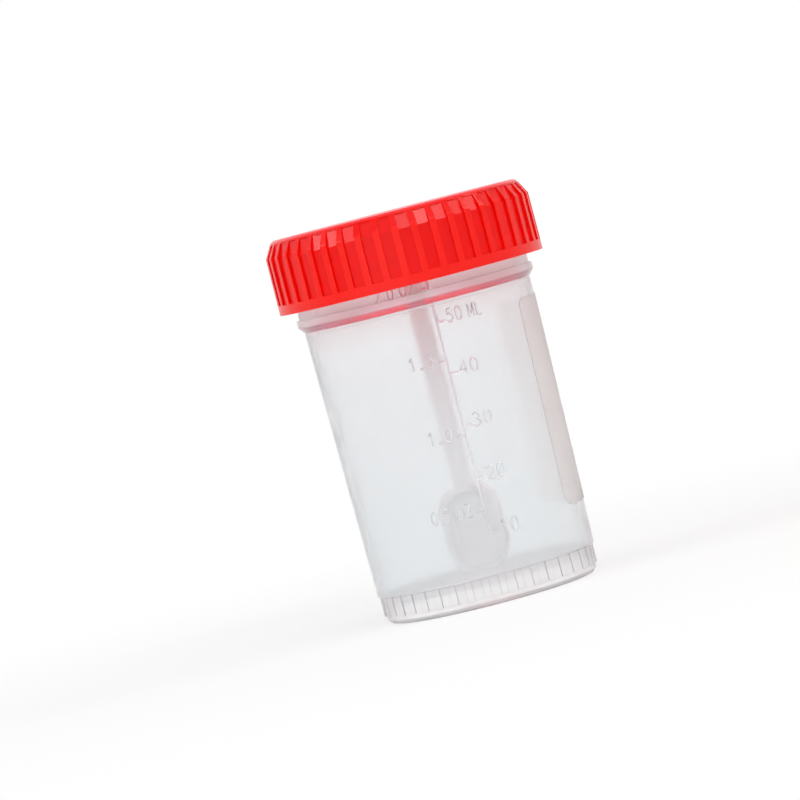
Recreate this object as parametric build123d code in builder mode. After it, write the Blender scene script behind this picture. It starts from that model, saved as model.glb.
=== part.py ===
from build123d import *
import math
import os

# Specimen container with a screw cap and a spoon, in millimetres.
# Origin: centre of the ring the cup stands on. +Z runs up the container's axis, -Y faces the
# volume scale and +X faces the writing panel.

# --- Cup: body ---------------------------------------------------------------------------------
cup_height = 67.65           # standing ring to rim
wall = 1.0                   # body wall
floor_thickness = 1.2
body_foot_radius = 19.2      # outside of the body just above the foot
body_draft = 0.91            # degrees a side, wider towards the rim
floor_chamfer = 1.4          # inside, between floor and wall

# --- Cup: foot ---------------------------------------------------------------------------------
foot_height = 5.05
foot_inset = 0.5             # plain foot below the body's surface
foot_edge_radius = 1.5
underside_recess = 1.2       # underside above the standing ring
ring_width = 1.4             # flat that the cup stands on
recess_edge = 1.0            # run of the slope between ring and recess
foot_rib_count = 40
foot_rib_width = 1.3
foot_rib_rise = 0.2
foot_rib_start = 0.1         # ribs start this far above the rounded edge

# --- Cup: neck ---------------------------------------------------------------------------------
neck_wall = 1.16             # at the rim
bead_rise = 0.5              # bead proud of the neck
bead_top = 54.45
bead_height = 1.2
bead_cone_height = 1.05      # cone from the bead down to the body
rim_chamfer = 0.3            # inside the rim, leads the cap's lip in

# --- Cup: raised scale and writing panel -------------------------------------------------------
mark_rise = 0.18
line_width = 0.35
tick_height = 0.3
millilitre_marks = (10, 20, 30, 40, 50)
millilitre_tick = 1.3        # length of a tick on the right of the line
ounce_marks = (0.5, 1.0, 1.5, 2.0)
ounce_tick = 1.15            # length of a tick on the left of the line
millilitres_per_ounce = 28.413
tick_gap = 0.15              # between the line and the ounce ticks
panel_width = 25.4
panel_bottom = 12.8
panel_top = 49.1
panel_rise = 0.18
panel_corner = 1.6
relief_root = 0.4            # raised work starts this far inside the wall

# --- Cap ---------------------------------------------------------------------------------------
cap_height = 12.8
cap_top_thickness = 1.2
thread_space = 1.15          # radial room between neck and skirt, where the two threads run
skirt_wall = 1.75            # at the ribs, at the shoulder
skirt_flare = 0.05           # the skirt is this much wider at its lower edge
chamfer_height = 2.85
chamfer_run = 1.6
top_edge_chamfer = 0.4
inner_chamfer = 2.0          # height of the sloping corner under the top
inner_chamfer_run = 1.0
band_height = 1.75           # plain band round the lower edge
cap_rib_count = 44
cap_rib_width = 1.2
cap_rib_rise = 0.45
rib_drop = 0.4               # the hollows turn onto the chamfer this much lower than the ribs
top_ring_height = 0.65       # plain ring between the hollows and the top
seat_gap = 0.05              # cap's ceiling above the rim
lip_depth = 1.8              # sealing lip inside the rim
lip_thickness = 0.6
lip_clearance = 0.12
socket_wall = 1.1

# --- Spoon -------------------------------------------------------------------------------------
spoon_turn = -26.0           # degrees, where the screwed-on cap leaves the spoon
spoon_tip_height = 5.0       # tip above the standing ring
stick_width = 2.95
stick_edge_round = 0.3
head_radius = 2.1
head_length = 5.0
socket_clearance = 0.05
paddle_width = 10.8
paddle_length = 15.2
paddle_thickness = 2.65
paddle_corner = 4.8
paddle_rim = 1.2
paddle_depth = 1.5           # depth of the scoop
paddle_back_chamfer = 0.8
scoop_taper = 25.0           # degrees, slope of the scoop's sides

# --- Derived sizes -----------------------------------------------------------------------------
draft_slope = math.tan(math.radians(body_draft))
foot_radius = body_foot_radius - foot_inset
floor_top = underside_recess + floor_thickness
bead_bottom = bead_top - bead_height
body_top = bead_bottom - bead_cone_height
rib_start = foot_edge_radius + foot_rib_start
ring_outer = foot_radius - foot_edge_radius
ring_inner = ring_outer - ring_width
ceiling = cup_height + seat_gap
cap_top = ceiling + cap_top_thickness
cap_bottom = cap_top - cap_height


def body_radius(height):
    """Outside radius of the drafted body at a height."""
    return body_foot_radius + draft_slope * (height - foot_height)


def bore_radius(height):
    """Inside radius of the cup at a height."""
    return body_radius(height) - wall


neck_radius = bore_radius(cup_height) + neck_wall
bead_radius = neck_radius + bead_rise
skirt_bore = neck_radius + thread_space
shoulder_radius = skirt_bore + skirt_wall
shoulder_height = cap_top - chamfer_height


def fill_height(millilitres):
    """Height of the surface of this much liquid in the cup.

    The bore is a cone, and the chamfer round the floor takes up a little room.
    """
    floor_bore = bore_radius(floor_top)
    chamfer_volume = math.pi * floor_chamfer**2 * (floor_bore - floor_chamfer / 3)
    volume = 1000 * millilitres + chamfer_volume
    cube = floor_bore**3 + 3 * draft_slope * volume / math.pi
    return floor_top + (cube ** (1 / 3) - floor_bore) / draft_slope


def half_plane(angle=0.0):
    """Plane that holds the axis, its x pointing outwards at this angle and its y up."""
    turn = math.radians(angle)
    return Plane(
        origin=(0, 0, 0),
        x_dir=(math.cos(turn), math.sin(turn), 0),
        z_dir=(math.sin(turn), -math.cos(turn), 0),
    )


def foot_edge_point(angle):
    """Point of the foot's rounded edge, from 0 degrees at the standing ring to 90 at its side."""
    turn = math.radians(angle)
    return (ring_outer + foot_edge_radius * math.sin(turn), foot_edge_radius * (1 - math.cos(turn)))


def skirt_radius(height):
    """Outside radius of the cap at its ribs, from the lower edge up to the shoulder."""
    return shoulder_radius + skirt_flare * (shoulder_height - height) / (shoulder_height - cap_bottom)


def chamfer_radius(height):
    """Outside radius of the cap on the chamfer above the shoulder."""
    return shoulder_radius - chamfer_run * (height - shoulder_height) / chamfer_height


# --- Cup ---------------------------------------------------------------------------------------
# One rib of the foot, between the rounded lower edge and the body's step.
with BuildPart() as foot_rib:
    with BuildSketch(half_plane()):
        with BuildLine():
            Polyline(
                (foot_radius - relief_root, rib_start),
                (foot_radius + foot_rib_rise, rib_start),
                (foot_radius + foot_rib_rise, foot_height),
                (foot_radius - relief_root, foot_height),
                close=True,
            )
        make_face()
    extrude(amount=foot_rib_width / 2, both=True)

# Thin cone that carries the writing panel, cut to the panel's outline.
with BuildPart() as writing_panel:
    with BuildSketch(Plane.XZ):
        with BuildLine():
            Polyline(
                (body_radius(panel_bottom) - relief_root, panel_bottom),
                (body_radius(panel_bottom) + panel_rise, panel_bottom),
                (body_radius(panel_top) + panel_rise, panel_top),
                (body_radius(panel_top) - relief_root, panel_top),
                close=True,
            )
        make_face()
    revolve(axis=Axis.Z)
    with BuildSketch(Plane.YZ):
        with Locations((0, (panel_bottom + panel_top) / 2)):
            RectangleRounded(panel_width, panel_top - panel_bottom, panel_corner)
    extrude(amount=2 * body_radius(panel_top), mode=Mode.INTERSECT)

# Thin skin that follows body, bead and neck, cut to the line and ticks of the scale.
line_bottom = fill_height(millilitre_marks[0]) - tick_height / 2
with BuildPart() as scale_marks:
    with BuildSketch(Plane.XZ):
        with BuildLine():
            Polyline(
                (body_radius(line_bottom) - relief_root, line_bottom - tick_height),
                (body_radius(line_bottom) + mark_rise, line_bottom - tick_height),
                (body_radius(body_top) + mark_rise, body_top),
                (bead_radius + mark_rise, bead_bottom),
                (bead_radius + mark_rise, bead_top),
                (neck_radius + mark_rise, bead_top),
                (neck_radius + mark_rise, cap_bottom),
                (neck_radius - relief_root, cap_bottom),
                (neck_radius - relief_root, bead_bottom),
                (body_radius(body_top) - relief_root, body_top),
                close=True,
            )
        make_face()
    revolve(axis=Axis.Z)
    with BuildSketch(Plane.XZ):
        with Locations((0, (line_bottom + cap_bottom) / 2)):
            Rectangle(line_width, cap_bottom - line_bottom)
        for mark in millilitre_marks:
            with Locations(((line_width + millilitre_tick) / 2, fill_height(mark))):
                Rectangle(millilitre_tick + line_width / 2, tick_height)
        for mark in ounce_marks:
            tick_centre = -(line_width / 2 + tick_gap + ounce_tick / 2)
            with Locations((tick_centre, fill_height(mark * millilitres_per_ounce))):
                Rectangle(ounce_tick, tick_height)
    extrude(amount=2 * bead_radius, mode=Mode.INTERSECT)

with BuildPart() as cup:
    # Half-section, up the outside and down the inside.
    with BuildSketch(Plane.XZ):
        with BuildLine():
            Polyline(
                (0, underside_recess),
                (ring_inner - recess_edge, underside_recess),
                (ring_inner, 0),
                foot_edge_point(0),
                foot_edge_point(30),
                foot_edge_point(60),
                foot_edge_point(90),
                (foot_radius, foot_height),
                (body_foot_radius, foot_height),
                (body_radius(body_top), body_top),
                (bead_radius, bead_bottom),
                (bead_radius, bead_top),
                (neck_radius, bead_top),
                (neck_radius, cup_height),
                (bore_radius(cup_height), cup_height),
                (bore_radius(floor_top), floor_top),
                (0, floor_top),
                close=True,
            )
        make_face()
    revolve(axis=Axis.Z)
    rim_edges = cup.edges().filter_by(GeomType.CIRCLE).filter_by_position(Axis.Z, cup_height, cup_height)
    chamfer(rim_edges.sort_by(SortBy.RADIUS)[0], rim_chamfer)
    floor_edges = cup.edges().filter_by(GeomType.CIRCLE).filter_by_position(Axis.Z, floor_top, floor_top)
    chamfer(floor_edges, floor_chamfer)
    with PolarLocations(0, foot_rib_count):
        add(foot_rib.part)
    add(writing_panel.part)
    add(scale_marks.part)
cup.part.label = "cup"

# --- Cap ---------------------------------------------------------------------------------------
# One hollow between two ribs, as the prism that is cut from the full cap.
rib_foot = cap_bottom + band_height
hollow_shoulder = shoulder_height - rib_drop
hollow_top = cap_top - top_ring_height
hollow_width = 2 * math.pi * shoulder_radius / cap_rib_count - cap_rib_width
beyond = shoulder_radius + skirt_flare + cap_rib_rise
with BuildPart() as hollow:
    with BuildSketch(half_plane()):
        with BuildLine():
            Polyline(
                (skirt_radius(rib_foot) - cap_rib_rise, rib_foot),
                (skirt_radius(hollow_shoulder) - cap_rib_rise, hollow_shoulder),
                (chamfer_radius(hollow_top) - cap_rib_rise / 2, hollow_top),
                (beyond, hollow_top),
                (beyond, rib_foot),
                close=True,
            )
        make_face()
    extrude(amount=hollow_width / 2, both=True)

socket_radius = head_radius + socket_clearance
boss_radius = socket_radius + socket_wall
boss_bottom = ceiling - head_length
lip_bottom = ceiling - lip_depth
lip_radius = bore_radius(lip_bottom) - lip_clearance
with BuildPart() as cap:
    with BuildSketch(Plane.XZ):
        with BuildLine():
            Polyline(
                (0, cap_top),
                (chamfer_radius(cap_top), cap_top),
                (shoulder_radius, shoulder_height),
                (skirt_radius(cap_bottom), cap_bottom),
                (skirt_bore, cap_bottom),
                (skirt_bore, ceiling - inner_chamfer),
                (skirt_bore - inner_chamfer_run, ceiling),
                (lip_radius, ceiling),
                (lip_radius, lip_bottom),
                (lip_radius - lip_thickness, lip_bottom),
                (lip_radius - lip_thickness, ceiling),
                (boss_radius, ceiling),
                (boss_radius, boss_bottom),
                (socket_radius, boss_bottom),
                (socket_radius, ceiling),
                (0, ceiling),
                close=True,
            )
        make_face()
    revolve(axis=Axis.Z)
    top_edges = cap.edges().filter_by(GeomType.CIRCLE).filter_by_position(Axis.Z, cap_top, cap_top)
    chamfer(top_edges, top_edge_chamfer)
    with PolarLocations(0, cap_rib_count, start_angle=180 / cap_rib_count):
        add(hollow.part, mode=Mode.SUBTRACT)
cap.part.label = "cap"

# --- Spoon -------------------------------------------------------------------------------------
# Drawn facing -Y and then turned about the axis with the cap.
spoon_front = half_plane(spoon_turn)
spoon_top = ceiling - socket_clearance
head_bottom = spoon_top - head_length
paddle_top = spoon_tip_height + paddle_length
paddle_middle = spoon_tip_height + paddle_length / 2
stick_foot = paddle_top - paddle_rim
with BuildPart() as scoop:
    with BuildSketch(spoon_front.offset(paddle_thickness / 2)):
        with Locations((0, paddle_middle)):
            RectangleRounded(
                paddle_width - 2 * paddle_rim,
                paddle_length - 2 * paddle_rim,
                paddle_corner - paddle_rim,
            )
    extrude(amount=-paddle_depth, taper=scoop_taper)

with BuildPart() as spoon:
    with BuildSketch(spoon_front.offset(-paddle_thickness / 2)):
        with Locations((0, paddle_middle)):
            RectangleRounded(paddle_width, paddle_length, paddle_corner)
    extrude(amount=paddle_thickness)
    paddle_back = spoon.faces().sort_by(Axis((0, 0, 0), spoon_front.z_dir))[0]
    chamfer(paddle_back.edges(), paddle_back_chamfer)
    add(scoop.part, mode=Mode.SUBTRACT)
    with BuildSketch(Plane.XY.offset(stick_foot).rotated((0, 0, spoon_turn))):
        RectangleRounded(stick_width, stick_width, stick_edge_round)
    extrude(amount=head_bottom - stick_foot)
    with BuildSketch(Plane.XY.offset(head_bottom)):
        Circle(head_radius)
    extrude(amount=head_length)
spoon.part.label = "spoon"

os.makedirs("parts", exist_ok=True)
export_step(cup.part, "parts/cup.step")
export_step(cap.part, "parts/cap.step")
export_step(spoon.part, "parts/spoon.step")
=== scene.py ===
"""Looks of the specimen container: plastics, raised numerals, screw threads, stage and camera.

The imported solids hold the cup, the cap and the spoon. Lengths here are in metres, in their frame:
origin at the centre of the foot, +Z up the axis, -Y towards the volume scale.
"""

import math

import bpy
from bpy.props import FloatProperty, FloatVectorProperty, IntProperty, PointerProperty
from mathutils import Matrix, Vector


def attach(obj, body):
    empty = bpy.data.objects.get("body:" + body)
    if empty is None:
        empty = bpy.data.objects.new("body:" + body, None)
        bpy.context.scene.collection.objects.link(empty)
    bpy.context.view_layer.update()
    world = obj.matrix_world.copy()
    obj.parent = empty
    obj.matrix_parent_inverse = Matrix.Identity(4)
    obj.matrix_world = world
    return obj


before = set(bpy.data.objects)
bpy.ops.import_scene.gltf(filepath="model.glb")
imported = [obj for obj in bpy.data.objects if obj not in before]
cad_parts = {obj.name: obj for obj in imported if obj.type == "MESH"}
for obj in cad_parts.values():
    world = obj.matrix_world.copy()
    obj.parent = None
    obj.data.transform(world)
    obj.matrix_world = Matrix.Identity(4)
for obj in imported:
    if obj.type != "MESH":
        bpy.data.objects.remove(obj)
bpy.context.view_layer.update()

bl_info = {
    "name": "Specimen Container",
    "version": (1, 0, 0),
    "blender": (4, 5, 0),
    "location": "3D View > Sidebar > Container",
    "description": "Plastics, numerals, threads and stage of a screw-capped specimen container",
    "category": "Object",
}

MM = 0.001
PLASTIC_IOR = 1.49  # how strongly the plastics bend light


def length(label, text, millimetres):
    """A length property, with its default given in millimetres."""
    return FloatProperty(name=label, description=text, default=millimetres * MM, unit="LENGTH", precision=5)


def colour(label, text, default):
    """A colour property."""
    return FloatVectorProperty(
        name=label, description=text, default=default, subtype="COLOR", size=3, min=0, max=1
    )


def fraction(label, text, default):
    """A number from 0 to 1."""
    return FloatProperty(name=label, description=text, default=default, min=0, max=1, subtype="FACTOR")


def angle(label, text, degrees):
    """An angle property, with its default given in degrees."""
    return FloatProperty(name=label, description=text, default=math.radians(degrees), subtype="ANGLE")


def number(label, text, default):
    """A plain number."""
    return FloatProperty(name=label, description=text, default=default)


def whole(label, text, default):
    """A whole number."""
    return IntProperty(name=label, description=text, default=default)


# --- Sizes and colours a user may change ---------------------------------------------------------


class CupSettings(bpy.types.PropertyGroup):
    """The cup's wall, as the raised work follows it, and its plastic."""

    foot_radius: length("Foot radius", "Outside of the body just above the foot", 19.2)
    foot_height: length("Foot height", "Height at which the body's slope starts", 5.05)
    draft: angle("Draft", "Slope of the wall", 0.91)
    wall: length("Wall", "Thickness of the body's wall", 1.0)
    floor: length("Floor", "Height of the inside floor", 2.4)
    floor_chamfer: length("Floor chamfer", "Sloping corner round the floor", 1.4)
    bead_top: length("Bead top", "Top of the bead under the cap", 54.45)
    neck_radius: length("Neck radius", "Outside of the neck between its threads", 20.354)
    rounding: length("Rounding", "Rounding of the moulded edges", 0.06)
    tint: colour("Tint", "Colour of the natural plastic", (0.968, 0.99, 1.0))
    # Painted shade on the clear raised strokes, and on the neck a painted reflection of the cap's red.
    mark_blush: colour("Mark blush", "Colour of the raised marks on the neck", (0.84, 0.40, 0.50))
    mark_tint: colour("Mark tint", "Colour of the raised line, ticks and numerals", (0.76, 0.62, 0.67))
    # Painted shade along the sides of the foot's clear ribs.
    rib_shade: colour("Rib shade", "Colour along the sides of the foot's ribs", (0.84, 0.82, 0.84))
    milk: fraction("Milkiness", "Share of the light that the wall scatters", 0.16)
    foot_milk: fraction("Foot milkiness", "Share of the light that the thick foot scatters", 0.42)
    milk_tint: colour("Milk tint", "Colour of the scattered light", (0.88, 0.925, 0.965))
    foot_tint: colour("Foot tint", "Colour of the scattered light in the foot", (0.93, 0.92, 0.935))
    # Painted reflection of the red cap on the cone under the bead.
    bead_tint: colour("Bead tint", "Cone under the bead, which gathers the cap's red", (0.79, 0.27, 0.42))
    # Painted reflection of the red cap on the neck's milky plastic.
    neck_tint: colour("Neck tint", "Colour of the light that the neck takes from the cap", (0.92, 0.83, 0.85))
    roughness: fraction("Roughness", "Roughness of the moulded surface", 0.15)
    panel_tint: colour("Panel tint", "Colour of the writing panel", (1.0, 0.97, 0.965))
    panel_roughness: fraction("Panel roughness", "Roughness of the writing panel", 0.55)
    ribs: whole("Foot ribs", "Number of ribs round the foot", 40)
    rib_width: length("Foot rib width", "Width of a rib of the foot", 1.3)


class ScaleSettings(bpy.types.PropertyGroup):
    """Raised numerals beside the scale's line."""

    height: length("Numeral height", "Height of the numerals", 2.3)
    width: length("Numeral width", "Width of one numeral", 1.25)
    gap: length("Numeral gap", "Space between two numerals", 0.7)
    stroke: length("Stroke width", "Width of a numeral's raised line", 0.26)
    rise: length("Stroke rise", "Height of a numeral's line above the wall", 0.16)
    lift: length("Text lift", "Middle of a numeral above its tick", 0.6)
    right_start: length("Right start", "Distance of the millilitre text from the line", 1.95)
    left_end: length("Left end", "Distance of the ounce text from the line", 2.25)
    squeeze: fraction("Squeeze", "Width of the texts with a unit, as a share of the others", 0.77)
    ounce: number("Fluid ounce", "Millilitres in a fluid ounce", 28.413)


class CapSettings(bpy.types.PropertyGroup):
    """The cap's plastic."""

    rounding: length("Rounding", "Rounding of the moulded edges", 0.13)
    hollow: length("Hollow radius", "Outside of the cap between its ribs", 22.82)
    bore: length("Skirt bore", "Inside radius of the cap's skirt", 21.504)
    red: colour("Red", "Colour of the cap", (0.79, 0.002, 0.001))
    # Painted light: the ribs' crests are a lighter red than the hollows, as where the lamps catch them.
    rubbed: colour("Rubbed red", "Colour of the ribs' worn crests", (0.87, 0.012, 0.007))
    # Painted glow: emission inside the cap stands for the light that comes through the red plastic.
    glow: colour("Glow", "Light that comes through the cap to its inside", (0.60, 0.008, 0.025))
    roughness: fraction("Roughness", "Roughness of the moulded cap", 0.24)
    shine: fraction("Shine", "Strength of the cap's reflections", 0.30)


class SpoonSettings(bpy.types.PropertyGroup):
    """The spoon's plastic."""

    rounding: length("Rounding", "Rounding of the moulded edges", 0.35)
    white: colour("White", "Colour of the spoon", (0.945, 0.93, 0.935))
    # Painted reflection of the red cap on the upper stick.
    blush: colour("Blush", "Colour of the stick near the cap", (0.90, 0.84, 0.85))
    roughness: fraction("Roughness", "Roughness of the moulded spoon", 0.38)


class ThreadSettings(bpy.types.PropertyGroup):
    """The screw thread of the neck and of the cap."""

    lead: length("Lead", "Rise of the thread in one turn", 4.0)
    turns: number("Turns", "Turns of each thread", 1.6)
    depth: length("Depth", "Height of the thread above its wall", 0.8)
    root: length("Root width", "Width of the thread at its wall", 1.7)
    crest: length("Crest width", "Width of the thread at its top", 0.6)
    start: length("Start", "Height where the neck's thread starts", 58.2)
    steps: whole("Steps", "Steps in one turn", 96)


class StageSettings(bpy.types.PropertyGroup):
    """Camera, floor and lights."""

    distance: length("Distance", "Camera to the aim point", 1000.0)
    lens: number("Lens", "Focal length in millimetres on a 36 mm sensor", 261.5)
    azimuth: angle("Azimuth", "Turn round the axis", -6.5)
    elevation: angle("Elevation", "Angle above the horizon", 2.2)
    roll: angle("Roll", "Lean of the camera", -14.55)
    aim_height: length("Aim height", "Height of the point aimed at", 36.96)
    aim_left: length("Aim left", "Distance of that point left of the axis", 7.0)
    floor: colour("Floor", "Colour of the floor", (0.90, 0.90, 0.90))
    cool: colour("Cool", "Tint of the surrounding light on the left", (0.97, 0.99, 1.0))
    warm: colour("Warm", "Tint of the surrounding light on the right", (1.0, 0.925, 0.91))
    ambient: number("Ambient", "Strength of the light from all round", 0.42)
    back_gloss: number("Back gloss", "Strength of what gloss shows from behind", 0.9)
    front_gloss: number("Front gloss", "Strength of what gloss shows from the front", 0.5)
    key: number("Key", "Power of the wide lamp in front", 3.2)
    fill: number("Fill", "Power of the large lamp on the left", 4.6)
    soft: number("Soft", "Power of the large, soft lamp in front", 2.1)
    bounce: number("Bounce", "Power of the warm lamp on the right", 1.8)
    top: number("Top", "Power of the lamp above", 2.5)


class ContainerSettings(bpy.types.PropertyGroup):
    """All settings of the container."""

    cup: PointerProperty(type=CupSettings)
    scale: PointerProperty(type=ScaleSettings)
    cap: PointerProperty(type=CapSettings)
    spoon: PointerProperty(type=SpoonSettings)
    thread: PointerProperty(type=ThreadSettings)
    stage: PointerProperty(type=StageSettings)


def settings():
    """The container's settings in this scene."""
    return bpy.context.scene.container


# --- Shader maths ------------------------------------------------------------------------------------


class Value:
    """A node socket used in sums: an operator adds the Math node that works it out."""

    def __init__(self, graph, socket):
        self.graph = graph
        self.socket = socket

    def math(self, operation, *others):
        """The result of a Math node with this value first."""
        return self.graph.node("ShaderNodeMath", {"operation": operation}, [self, *others])

    def __add__(self, other):
        return self.math("ADD", other)

    def __mul__(self, other):
        return self.math("MULTIPLY", other)

    def __sub__(self, other):
        return self.math("SUBTRACT", other)

    def __rsub__(self, other):
        return self.graph.node("ShaderNodeMath", {"operation": "SUBTRACT"}, [other, self])

    __radd__ = __add__
    __rmul__ = __mul__

    def ramp(self, low, high):
        """0 below low, 1 above high and smooth between."""
        wanted = {"Value": self, "From Min": low, "From Max": high, "To Min": 0.0, "To Max": 1.0}
        return self.graph.node("ShaderNodeMapRange", {"interpolation_type": "SMOOTHSTEP"}, wanted)


class Graph:
    """The nodes of one material, or of the world."""

    def __init__(self, owner):
        owner.use_nodes = True
        self.owner = owner
        self.tree = owner.node_tree
        self.tree.nodes.clear()

    def node(self, kind, options=None, inputs=None, output=0):
        """Adds a node, sets its options and then its sockets, and returns one output."""
        made = self.tree.nodes.new(kind)
        for key, value in (options or {}).items():
            setattr(made, key, value)
        pairs = enumerate(inputs) if isinstance(inputs, list) else (inputs or {}).items()
        for key, value in pairs:
            if isinstance(value, Value):
                self.tree.links.new(value.socket, made.inputs[key])
            else:
                made.inputs[key].default_value = value
        return Value(self, made.outputs[output]) if made.outputs else made

    def place(self):
        """Where a point of the surface lies on the object, in metres."""
        return self.node("ShaderNodeTexCoord", output="Object")

    def axes(self):
        """x, y and z of that point."""
        place = self.place()
        return [self.node("ShaderNodeSeparateXYZ", None, [place], output) for output in range(3)]

    def vector(self, operation, inputs):
        """The result of a Vector Math node."""
        return self.node("ShaderNodeVectorMath", {"operation": operation}, inputs)

    def noise(self, size, detail=2.0, roughness=0.5, stretch=(1, 1, 1)):
        """Soft noise about 0.5, with features of this size in metres."""
        scaled = self.vector("MULTIPLY", [self.place(), Vector(stretch)])
        wanted = {"Vector": scaled, "Scale": 1 / size, "Detail": detail, "Roughness": roughness}
        return self.node("ShaderNodeTexNoise", None, wanted)

    def blend(self, amount, first, second):
        """A colour between two others, by the Mix node's colour sockets."""
        first, second = (part if isinstance(part, Value) else (*part, 1) for part in (first, second))
        return self.node("ShaderNodeMix", {"data_type": "RGBA"}, {0: amount, 6: first, 7: second}, output=2)

    def bump(self, height, depth, normal=None):
        """The normal, changed by a height that is given in units of depth, in metres."""
        wanted = {"Height": height, "Distance": depth}
        return self.node("ShaderNodeBump", None, {**wanted, "Normal": normal} if normal else wanted)

    def finish(self, shader, kind="ShaderNodeOutputMaterial"):
        """Links the shader to the output."""
        self.node(kind, None, {"Surface": shader})
        return self.owner


def new_graph(name):
    """The graph of a new material."""
    return Graph(bpy.data.materials.new(name))


def shade(colour, factor):
    """A colour made darker or lighter."""
    return tuple(min(1.0, part * factor) for part in colour)


# How much more of the light each area of the cup scatters than the wall or foot it lies on.
MORE_MILK = {"edge": 0.2, "panel": 0.14, "neck": 0.10, "bead": 0.14, "cone": -0.19, "mark": 0.25}


def cup_areas(x, y, z, radius, over_wall):
    """Masks by name, each 1 on one area of the cup and 0 off it. over_wall is the height above the wall."""
    cup = settings().cup
    raised = (0.03 * MM, 0.07 * MM)
    above_foot = z.ramp(7.0 * MM, 7.5 * MM)
    over_body = over_wall.ramp(*raised) * z.ramp(52.2 * MM, 52.1 * MM)
    over_neck = (radius - cup.neck_radius).ramp(*raised) * z.ramp(54.5 * MM, 54.55 * MM)
    front = y.ramp(-14 * MM, -14.5 * MM) * above_foot * z.ramp(57.9 * MM, 57.8 * MM)
    panel_side = x.ramp(13.4 * MM, 13.8 * MM) * above_foot * z.ramp(52.1 * MM, 51.9 * MM)
    foot = z.ramp(5.4 * MM, 4.6 * MM) * radius.ramp(17.8 * MM, 18.0 * MM)

    # Painted shade along both sides of each rib of the foot.
    pitch = 2 * math.pi * cup.foot_radius / cup.ribs
    turn = y.math("ARCTAN2", x) * (cup.ribs / (2 * math.pi))
    from_side = (turn.math("PINGPONG", 0.5) * pitch - cup.rib_width / 2).math("ABSOLUTE")
    rib_height = z.ramp(1.5 * MM, 1.7 * MM) * z.ramp(5.1 * MM, 4.9 * MM)

    return {
        "mark": (over_body + over_neck) * front,
        "panel": x.ramp(14.0 * MM, 14.6 * MM) * over_body * above_foot,
        "panel_side": panel_side * over_wall.ramp(-0.5 * MM, -0.4 * MM),
        "rib_side_shade": from_side.ramp(0.17 * MM, 0.04 * MM) * rib_height * radius.ramp(18.3 * MM, 18.5 * MM),
        "foot": foot,
        "edge": foot * z.ramp(1.6 * MM, 1.0 * MM),
        "cone": z.ramp(52.15 * MM, 52.3 * MM) * z.ramp(53.4 * MM, 53.1 * MM),
        "bead": z.ramp(51.4 * MM, 52.0 * MM) * z.ramp(54.6 * MM, 54.3 * MM),
        "neck": z.ramp(46 * MM, 55 * MM),
    }


def even_normal(graph, x, y, radius, panel_side):
    """The surface's normal, and beside the panel, where the facets are wide, that of a round wall."""
    cup = settings().cup
    outward = graph.node("ShaderNodeCombineXYZ", None, [x, y, -math.tan(cup.draft) * radius])
    facing = 1.0 - 2.0 * graph.node("ShaderNodeNewGeometry", output="Backfacing")
    outward = graph.vector("SCALE", {0: outward, "Scale": facing * (1 / cup.foot_radius)})
    plain = graph.node("ShaderNodeNewGeometry", output="Normal")
    wanted = {0: panel_side, 4: plain, 5: outward}
    mixed = graph.node("ShaderNodeMix", {"data_type": "VECTOR"}, wanted, output=1)
    return graph.vector("NORMALIZE", [mixed])


def clear_plastic():
    """Natural, slightly milky moulded plastic, its writing panel matt, with painted shade on its raised marks
    and along its foot ribs and a painted reflection of the cap's red on its neck and bead cone.
    """
    cup = settings().cup
    graph = new_graph("clear_moulded_plastic")
    x, y, z = graph.axes()
    cloud = graph.noise(9 * MM)
    grain = graph.noise(0.35 * MM)
    radius = (x * x + y * y).math("SQRT")
    over_wall = radius - (cup.foot_radius + math.tan(cup.draft) * (z - cup.foot_height))
    area = cup_areas(x, y, z, radius, over_wall)

    uneven = 0.05 * (cloud - 0.5) + 0.03 * (grain - 0.5)
    roughness = cup.roughness + (cup.panel_roughness - cup.roughness) * area["panel"] + uneven
    roughness = roughness * (1.0 - 0.35 * area["bead"]) + 0.25 * area["mark"]
    normal = even_normal(graph, x, y, radius, area["panel_side"])
    surface = {
        "Roughness": roughness,
        "IOR": PLASTIC_IOR,
        "Normal": graph.bump(0.5 * cloud + 0.2 * grain, 0.008 * MM, normal),
    }

    # The marks' painted shade is faint near the foot, and on the neck it gives way to a painted reflection of
    # the cap's red.
    painted_mark_colour = graph.blend(z.ramp(50 * MM, 55 * MM), cup.mark_tint, cup.mark_blush)
    mark = area["mark"] * (0.25 + 0.75 * z.ramp(20 * MM, 50 * MM))

    tint = graph.blend(cloud, shade(cup.tint, 0.985), shade(cup.tint, 1.015))
    # Painted shade along the sides of the foot's ribs.
    tint = graph.blend(area["rib_side_shade"], tint, cup.rib_shade)
    tint = graph.blend(area["panel"], tint, cup.panel_tint)
    # The cone under the bead takes a painted reflection of the cap's red, here and in the milky part below.
    tint = graph.blend(area["cone"], tint, cup.bead_tint)
    wanted = {"Base Color": graph.blend(mark, tint, painted_mark_colour), "Transmission Weight": 1.0, **surface}
    clear = graph.node("ShaderNodeBsdfPrincipled", None, wanted)

    milky = graph.blend(area["foot"], cup.milk_tint, cup.foot_tint)
    # On the neck the milky colour is a painted reflection of the cap's red.
    milky = graph.blend(area["neck"], milky, cup.neck_tint)
    milky = graph.blend(area["cone"] * 0.4, milky, cup.bead_tint)
    milky = graph.blend(area["panel"], milky, cup.panel_tint)
    milky = graph.blend(area["rib_side_shade"], milky, cup.rib_shade)
    wanted = {"Base Color": graph.blend(mark, milky, painted_mark_colour), **surface}
    milk = graph.node("ShaderNodeBsdfPrincipled", None, wanted)

    share = cup.milk + (cup.foot_milk - cup.milk) * area["foot"]
    for name, more in MORE_MILK.items():
        share = share + more * area[name]
    least = 0.02
    return graph.finish(graph.node("ShaderNodeMixShader", None, [share.math("MAXIMUM", least), clear, milk]))


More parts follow.
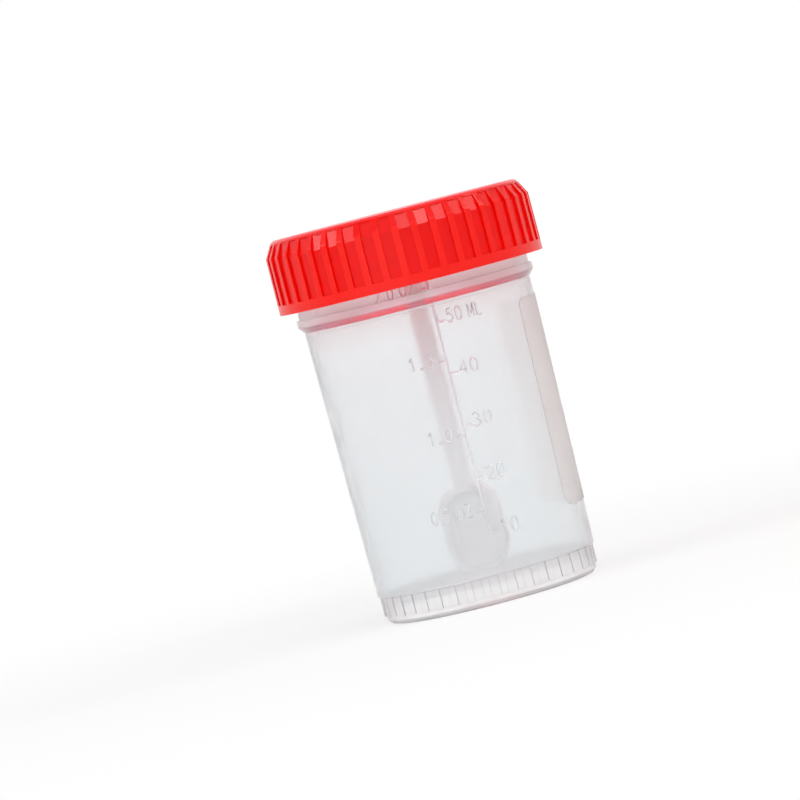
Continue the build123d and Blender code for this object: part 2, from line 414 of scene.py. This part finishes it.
def red_plastic():
    """Bright red moulded plastic: the ribs' crests painted lighter as if lit, and a painted red glow inside
    that stands for light coming through.
    """
    cap = settings().cap
    graph = new_graph("red_moulded_plastic")
    x, y, _ = graph.axes()
    cloud = graph.noise(7 * MM)
    grain = graph.noise(0.25 * MM)
    scuff_and_light = graph.noise(1.6 * MM, 4.0, 0.65, (1, 1, 0.35))
    radius = (x * x + y * y).math("SQRT")
    # Painted light: the crests turn a lighter red, patchy by the noise, beside the darker hollows.
    crest = (radius - cap.hollow).ramp(0.15 * MM, 0.35 * MM) * (0.6 + 0.6 * scuff_and_light)
    inside = radius.ramp(cap.bore + 0.2 * MM, cap.bore + 0.05 * MM)
    base = graph.blend(cloud, shade(cap.red, 0.96), shade(cap.red, 1.04))
    wanted = {
        "Base Color": graph.blend(crest, base, cap.rubbed),
        "Roughness": cap.roughness + 0.06 * (cloud - 0.5) + 0.06 * (scuff_and_light - 0.5),
        "IOR": PLASTIC_IOR,
        "Specular IOR Level": cap.shine,
        "Subsurface Weight": 0.55,
        "Subsurface Radius": (1.0, 0.04, 0.04),
        "Subsurface Scale": 2.0 * MM,
        # Painted glow: red emission on the inside of the skirt.
        "Emission Color": graph.blend(inside, (0, 0, 0), cap.glow),
        "Emission Strength": 1.0,
        "Normal": graph.bump(0.5 * cloud + 0.1 * scuff_and_light + 0.1 * grain, 0.02 * MM),
    }
    return graph.finish(graph.node("ShaderNodeBsdfPrincipled", None, wanted))


def white_plastic():
    """Whitish moulded plastic that lets some light through, with a painted reflection of the cap's red on the
    stick near the cap.
    """
    spoon = settings().spoon
    graph = new_graph("white_moulded_plastic")
    z = graph.axes()[2]
    cloud = graph.noise(5 * MM)
    grain = graph.noise(0.3 * MM)
    plain = graph.blend(cloud, shade(spoon.white, 0.97), shade(spoon.white, 1.03))
    wanted = {
        # Painted reflection of the cap's red, stronger towards the cap.
        "Base Color": graph.blend(z.ramp(26 * MM, 54 * MM), plain, spoon.blush),
        "Roughness": spoon.roughness + 0.12 * (cloud - 0.5) + 0.06 * (grain - 0.5),
        "IOR": PLASTIC_IOR,
        "Subsurface Weight": 0.35,
        "Subsurface Radius": (1.0, 0.95, 0.95),
        "Subsurface Scale": 1.2 * MM,
        "Normal": graph.bump(0.5 * cloud + 0.1 * grain, 0.03 * MM),
    }
    return graph.finish(graph.node("ShaderNodeBsdfPrincipled", None, wanted))


def kept(name, maker):
    """The material of this name, made once."""
    return bpy.data.materials.get(name) or maker()


# --- Mesh tools --------------------------------------------------------------------------------------


def wall_radius(height):
    """Outside radius of the cup at a height, up to the neck."""
    cup = settings().cup
    if height > cup.bead_top:
        return cup.neck_radius
    return cup.foot_radius + math.tan(cup.draft) * (height - cup.foot_height)


def fill_height(millilitres):
    """Height of the surface of this much liquid in the cup."""
    cup = settings().cup
    slope = math.tan(cup.draft)
    bore = cup.foot_radius + slope * (cup.floor - cup.foot_height) - cup.wall
    corner = math.pi * cup.floor_chamfer**2 * (bore - cup.floor_chamfer / 3)
    volume = millilitres * 1e-6 + corner  # as if the corner were hollow, in cubic metres
    return cup.floor + ((bore**3 + 3 * slope * volume / math.pi) ** (1 / 3) - bore) / slope


def sweep(points, outward, section, closed=False):
    """Vertices and faces of a section swept along points.

    outward gives the direction in which the section's second number is laid off at each point. Where
    section is a function, it gives the section at a share of the way.
    """
    count = len(points)
    vertices, faces = [], []
    size = 0
    for index, point in enumerate(points):
        before = points[index - 1] if closed or index else point
        after = points[(index + 1) % count] if closed or index < count - 1 else point
        along = (after - before).normalized()
        up = (outward[index] - along * outward[index].dot(along)).normalized()
        side = along.cross(up)
        shape = section(index / (count - 1)) if callable(section) else section
        size = len(shape)
        vertices += [point + side * across + up * out for across, out in shape]
    rings = count if closed else count - 1
    for ring in range(rings):
        start, following = ring * size, (ring + 1) % count * size
        for corner in range(size):
            turn = (corner + 1) % size
            faces.append((start + corner, start + turn, following + turn, following + corner))
    if not closed:
        faces.append(tuple(reversed(range(size))))
        faces.append(tuple(range((count - 1) * size, count * size)))
    return vertices, faces


def mesh_object(name, parts, material, body):
    """One object from several swept parts, riding on a body."""
    vertices, faces = [], []
    for part_vertices, part_faces in parts:
        base = len(vertices)
        vertices += part_vertices
        faces += [tuple(base + index for index in face) for face in part_faces]
    mesh = bpy.data.meshes.new(name)
    mesh.from_pydata([tuple(vertex) for vertex in vertices], [], faces)
    mesh.validate()
    mesh.materials.append(material)
    mesh.shade_smooth()
    mesh.set_sharp_from_angle(angle=math.radians(40))
    piece = bpy.data.objects.new(name, mesh)
    bpy.context.collection.objects.link(piece)
    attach(piece, body)
    return piece


# --- Raised numerals ---------------------------------------------------------------------------------


def arc(centre, radii, start, end, steps=12):
    """Points of an elliptic arc, in degrees, in a glyph's box of 1 by 1."""
    angles = [math.radians(start + (end - start) * step / steps) for step in range(steps + 1)]
    return [(centre[0] + radii[0] * math.cos(a), centre[1] + radii[1] * math.sin(a)) for a in angles]


def glyph(character):
    """The strokes of a character in a box of 1 by 1, and whether each closes on itself."""
    if character in "0O":
        return [(arc((0.5, 0.5), (0.5, 0.5), 90, 435, 23), True)]
    if character == "1":
        return [([(0.2, 0.78), (0.55, 1.0), (0.55, 0.0)], False)]
    if character == "2":
        return [(arc((0.48, 0.71), (0.46, 0.29), 165, -30, 14) + [(0.02, 0.0), (1.0, 0.0)], False)]
    if character == "3":
        upper = arc((0.46, 0.74), (0.42, 0.26), 155, -90, 13)
        lower = arc((0.46, 0.26), (0.48, 0.26), 90, -155, 13)
        return [(upper, False), (lower, False)]
    if character == "4":
        return [([(0.72, 0.0), (0.72, 1.0), (0.0, 0.3), (1.0, 0.3)], False)]
    if character == "5":
        bowl = arc((0.46, 0.33), (0.5, 0.33), 135, -150, 16)
        return [([(0.92, 1.0), (0.2, 1.0), (0.11, 0.56)] + bowl, False)]
    if character == "M":
        return [([(0.0, 0.0), (0.0, 1.0), (0.5, 0.25), (1.0, 1.0), (1.0, 0.0)], False)]
    if character == "L":
        return [([(0.0, 1.0), (0.0, 0.0), (0.85, 0.0)], False)]
    if character == "Z":
        return [([(0.0, 1.0), (1.0, 1.0), (0.0, 0.0), (1.0, 0.0)], False)]
    if character == ".":
        return [([(-0.4, 0.02), (1.4, 0.02)], False), ([(-0.4, 0.09), (1.4, 0.09)], False)]
    return []


def glyph_width(character):
    """How wide a character is, in numeral widths."""
    return {".": 0.25, " ": 0.15, "M": 1.05, "O": 1.1}.get(character, 1.0)


def text_width(text, squeeze):
    """Length of a line of raised text."""
    scale = settings().scale
    return squeeze * (sum(glyph_width(c) * scale.width for c in text) + scale.gap * (len(text) - 1))


def raised_text(text, start, middle, squeeze):
    """The swept strokes of a text on the wall, from start along the wall and about a height."""
    scale = settings().scale
    half = scale.stroke / 2
    buried = -0.1 * MM
    angles = [math.pi * step / 4 for step in range(5)]
    rounded = [(half * math.cos(a), scale.rise * math.sin(a)) for a in angles]
    section = rounded + [(-half, buried), (half, buried)]
    parts = []
    left = start
    for character in text:
        wide = glyph_width(character) * scale.width * squeeze
        for stroke, closed in glyph(character):
            points, outward = [], []
            for across, up in stroke:
                height = middle + (up - 0.5) * scale.height
                radius = wall_radius(height)
                turn = (left + across * wide) / radius
                out = Vector((math.sin(turn), -math.cos(turn), 0))
                points.append(out * radius + Vector((0, 0, height)))
                outward.append(out)
            parts.append(sweep(points, outward, section, closed))
        left += wide + scale.gap * squeeze
    return parts


class CONTAINER_OT_numerals(bpy.types.Operator):
    """Raise the numerals beside the ticks of the volume scale"""

    bl_idname = "container.numerals"
    bl_label = "Raised Numerals"

    def execute(self, context):
        scale = settings().scale
        wider_unit = 1.05
        parts = []
        for mark in (10, 20, 30, 40, 50):
            text = "50 ML" if mark == 50 else str(mark)
            squeeze = wider_unit * scale.squeeze if "ML" in text else 1.0
            parts += raised_text(text, scale.right_start, fill_height(mark) + scale.lift, squeeze)
        for mark in (0.5, 1.0, 1.5, 2.0):
            text = f"{mark:.1f} OZ" if mark in (0.5, 2.0) else f"{mark:.1f}"
            squeeze = scale.squeeze if "OZ" in text else 1.0
            start = -scale.left_end - text_width(text, squeeze)
            parts += raised_text(text, start, fill_height(mark * scale.ounce) + scale.lift, squeeze)
        plastic = kept("clear_moulded_plastic", clear_plastic)
        mesh_object("numerals", parts, plastic, "cup")
        return {"FINISHED"}


# --- Screw threads -----------------------------------------------------------------------------------


def helix_ridge(radius, sign, start, phase):
    """A ridge that winds up a wall of this radius. sign is 1 outwards and -1 inwards."""
    thread = settings().thread
    count = int(thread.steps * thread.turns) + 1
    points, outward = [], []
    for index in range(count):
        turn = phase + 2 * math.pi * index / thread.steps
        out = Vector((math.cos(turn), math.sin(turn), 0))
        points.append(out * radius + Vector((0, 0, start + thread.lead * index / thread.steps)))
        outward.append(out * sign)

    def section(share):
        """The thread's section, which fades in and out over its first and last eighth."""
        fade = min(1.0, min(share, 1 - share) * 8)
        swell = 0.12 + 0.88 * math.sin(fade * math.pi / 2)
        buried = -0.15 * MM
        root, crest, depth = thread.root / 2 * (0.5 + 0.5 * swell), thread.crest / 2, thread.depth * swell
        rising = [(root, buried), (root, 0), (crest, depth * 0.92), (crest * 0.6, depth)]
        return rising + [(-across, out) for across, out in reversed(rising)]

    return sweep(points, outward, section)


class CONTAINER_OT_threads(bpy.types.Operator):
    """Wind the screw threads on the neck and inside the cap, so that they mesh when closed"""

    bl_idname = "container.threads"
    bl_label = "Screw Threads"

    def execute(self, context):
        thread = settings().thread
        cup = settings().cup
        phase = 0.6
        neck = helix_ridge(cup.neck_radius, 1, thread.start, phase)
        cap = helix_ridge(settings().cap.bore, -1, thread.start - thread.lead / 4, phase + math.pi / 2)
        clear = kept("clear_moulded_plastic", clear_plastic)
        red = kept("red_moulded_plastic", red_plastic)
        mesh_object("neck_thread", [neck], clear, "cup")
        mesh_object("cap_thread", [cap], red, "lid")
        return {"FINISHED"}


# --- The carried-over solids --------------------------------------------------------------------------


def dress(node, material, rounding, sharp=24):
    """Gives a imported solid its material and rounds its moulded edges, those sharper than so many degrees."""
    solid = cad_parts[node]
    solid.data.materials.clear()
    solid.data.materials.append(material)
    weld = solid.modifiers.new("weld", "WELD")
    weld.merge_threshold = 2e-6
    bevel = solid.modifiers.new("rounded_edges", "BEVEL")
    bevel.limit_method = "ANGLE"
    bevel.angle_limit = math.radians(sharp)
    bevel.width = rounding
    bevel.segments = 3
    bevel.use_clamp_overlap = True
    normals = solid.modifiers.new("even_normals", "WEIGHTED_NORMAL")
    normals.weight = 60


class CONTAINER_OT_cup(bpy.types.Operator):
    """Give the cup its plastic"""

    bl_idname = "container.cup"
    bl_label = "Cup"

    def execute(self, context):
        dress("cup", kept("clear_moulded_plastic", clear_plastic), settings().cup.rounding)
        return {"FINISHED"}


class CONTAINER_OT_cap(bpy.types.Operator):
    """Give the ribbed cap its plastic"""

    bl_idname = "container.cap"
    bl_label = "Cap"

    def execute(self, context):
        dress("cap", kept("red_moulded_plastic", red_plastic), settings().cap.rounding, sharp=14)
        return {"FINISHED"}


class CONTAINER_OT_spoon(bpy.types.Operator):
    """Give the spoon its plastic"""

    bl_idname = "container.spoon"
    bl_label = "Spoon"

    def execute(self, context):
        dress("spoon", kept("white_moulded_plastic", white_plastic), settings().spoon.rounding)
        return {"FINISHED"}


# --- Stage -------------------------------------------------------------------------------------------


def aim(thing, target, roll=0.0):
    """Turns a lamp or camera to face a point."""
    look = (target - thing.location).to_track_quat("-Z", "Y").to_matrix().to_4x4()
    thing.matrix_world = Matrix.Translation(thing.location) @ look @ Matrix.Rotation(roll, 4, "Z")


def direction(azimuth, elevation):
    """Unit vector from the object towards a place at these angles."""
    flat = math.cos(elevation)
    return Vector((math.sin(azimuth) * flat, -math.cos(azimuth) * flat, math.sin(elevation)))


def lamp(name, azimuth, elevation, distance, size, power, tint=(1.0, 1.0, 1.0)):
    """A soft rectangular lamp that faces the container. Angles are in degrees, lengths in metres."""
    data = bpy.data.lights.new(name, "AREA")
    data.shape = "RECTANGLE"
    data.size, data.size_y = size
    data.energy = power
    data.color = tint
    made = bpy.data.objects.new(name, data)
    bpy.context.collection.objects.link(made)
    target = Vector((0, 0, 35 * MM))  # the middle of the container
    made.location = target + direction(math.radians(azimuth), math.radians(elevation)) * distance
    aim(made, target)


def ray(graph, kind):
    """1 for rays of a kind, such as camera rays."""
    return graph.node("ShaderNodeLightPath", output=kind)


def direct(graph):
    """1 where the camera meets this, straight or through clear plastic."""
    return ray(graph, "Is Camera Ray").math("MAXIMUM", ray(graph, "Is Transmission Ray"))


def white_floor():
    """A pale floor that keeps the container's shadow and turns white away from it."""
    stage = settings().stage
    graph = new_graph("white_floor")
    x, y, _ = graph.axes()
    away = (x * x + y * y).math("SQRT").ramp(0.05, 0.22)
    behind = ray(graph, "Is Glossy Ray") * y.ramp(-0.1, 0.3)
    matt = graph.node("ShaderNodeBsdfDiffuse", None, {"Color": (*stage.floor, 1)})
    glow = graph.node("ShaderNodeEmission", None, {"Color": (1, 1, 1, 1), "Strength": 1.0})
    # The floor glows less near the container, and less seen straight than through clear plastic.
    near = 0.7 + 0.2 * ray(graph, "Is Transmission Ray")
    share = (direct(graph) + 0.6 * behind) * (near + (1.0 - near) * away)
    return graph.finish(graph.node("ShaderNodeMixShader", None, [share, matt, glow]))


def white_surround(world):
    """White behind the container, and an even, weaker light from all round."""
    stage = settings().stage
    graph = Graph(world)
    way = graph.node("ShaderNodeTexCoord", output="Generated")
    right, behind = (graph.node("ShaderNodeSeparateXYZ", None, [way], axis) for axis in (0, 1))
    front = 1.0 - behind.ramp(-0.15, 0.3)
    shown = stage.back_gloss - (stage.back_gloss - stage.front_gloss) * front
    gloss = ray(graph, "Is Glossy Ray") * (shown - stage.ambient)
    strength = stage.ambient + (1.0 - stage.ambient) * direct(graph) + gloss
    warmth = graph.blend(right.ramp(-0.6, 0.7), stage.cool, stage.warm)
    tinted = graph.blend(ray(graph, "Is Camera Ray"), warmth, (1, 1, 1))
    sky = graph.node("ShaderNodeBackground", None, {"Color": tinted, "Strength": strength})
    graph.finish(sky, "ShaderNodeOutputWorld")


class CONTAINER_OT_stage(bpy.types.Operator):
    """Set the floor, the surrounding light, the lamps and the camera"""

    bl_idname = "container.stage"
    bl_label = "Stage"

    def execute(self, context):
        stage = settings().stage
        scene = context.scene
        scene.view_settings.view_transform = "Standard"

        half = 3.0  # half the floor's width, in metres
        mesh = bpy.data.meshes.new("floor")
        corners = [(-half, -half, 0), (half, -half, 0), (half, half, 0), (-half, half, 0)]
        mesh.from_pydata(corners, [], [(0, 1, 2, 3)])
        mesh.materials.append(white_floor())
        floor = bpy.data.objects.new("floor", mesh)
        context.collection.objects.link(floor)

        scene.world = bpy.data.worlds.new("white_surround")
        white_surround(scene.world)

        lamp("front_lamp", 18, 39, 1.1, (0.62, 0.14), stage.key)
        lamp("left_lamp", -74, 33, 1.2, (0.85, 0.34), stage.fill)
        lamp("soft_lamp", -30, 20, 1.4, (1.3, 1.3), stage.soft)
        lamp("right_lamp", 70, 38, 1.0, (0.5, 0.3), stage.bounce, (1.0, 0.90, 0.84))
        lamp("top_lamp", 10, 80, 1.2, (0.8, 0.8), stage.top)

        data = bpy.data.cameras.new("camera")
        data.lens = stage.lens
        data.sensor_width = 36.0
        data.clip_start = 0.05
        data.clip_end = 20.0
        camera = bpy.data.objects.new("camera", data)
        context.collection.objects.link(camera)
        left = Vector((math.cos(stage.azimuth), math.sin(stage.azimuth), 0)) * -stage.aim_left
        target = Vector((0, 0, stage.aim_height)) + left
        camera.location = target + direction(stage.azimuth, stage.elevation) * stage.distance
        aim(camera, target, stage.roll)
        scene.camera = camera
        return {"FINISHED"}


# --- Panel and registration ---------------------------------------------------------------------------


class CONTAINER_PT_sidebar(bpy.types.Panel):
    """Settings and makers of the specimen container"""

    bl_idname = "CONTAINER_PT_sidebar"
    bl_label = "Specimen Container"
    bl_space_type = "VIEW_3D"
    bl_region_type = "UI"
    bl_category = "Container"

    def draw(self, context):
        for operator in OPERATORS:
            self.layout.operator(operator.bl_idname)
        for group in ("cup", "scale", "cap", "spoon", "thread", "stage"):
            box = self.layout.box()
            box.label(text=group.capitalize())
            values = getattr(context.scene.container, group)
            for key in values.__annotations__:
                box.prop(values, key)


GROUPS = (
    CupSettings,
    ScaleSettings,
    CapSettings,
    SpoonSettings,
    ThreadSettings,
    StageSettings,
    ContainerSettings,
)
OPERATORS = (
    CONTAINER_OT_cup,
    CONTAINER_OT_cap,
    CONTAINER_OT_spoon,
    CONTAINER_OT_numerals,
    CONTAINER_OT_threads,
    CONTAINER_OT_stage,
)


def register():
    """Registers every class and the settings."""
    for group in GROUPS + OPERATORS + (CONTAINER_PT_sidebar,):
        bpy.utils.register_class(group)
    bpy.types.Scene.container = PointerProperty(type=ContainerSettings)


def unregister():
    """Takes the settings and every class back out."""
    del bpy.types.Scene.container
    for group in reversed(GROUPS + OPERATORS + (CONTAINER_PT_sidebar,)):
        bpy.utils.unregister_class(group)


def main():
    """Makes every piece in order."""
    register()
    bpy.ops.container.cup()
    bpy.ops.container.cap()
    bpy.ops.container.spoon()
    bpy.ops.container.numerals()
    bpy.ops.container.threads()
    bpy.ops.container.stage()


if __name__ == "__main__":
    main()
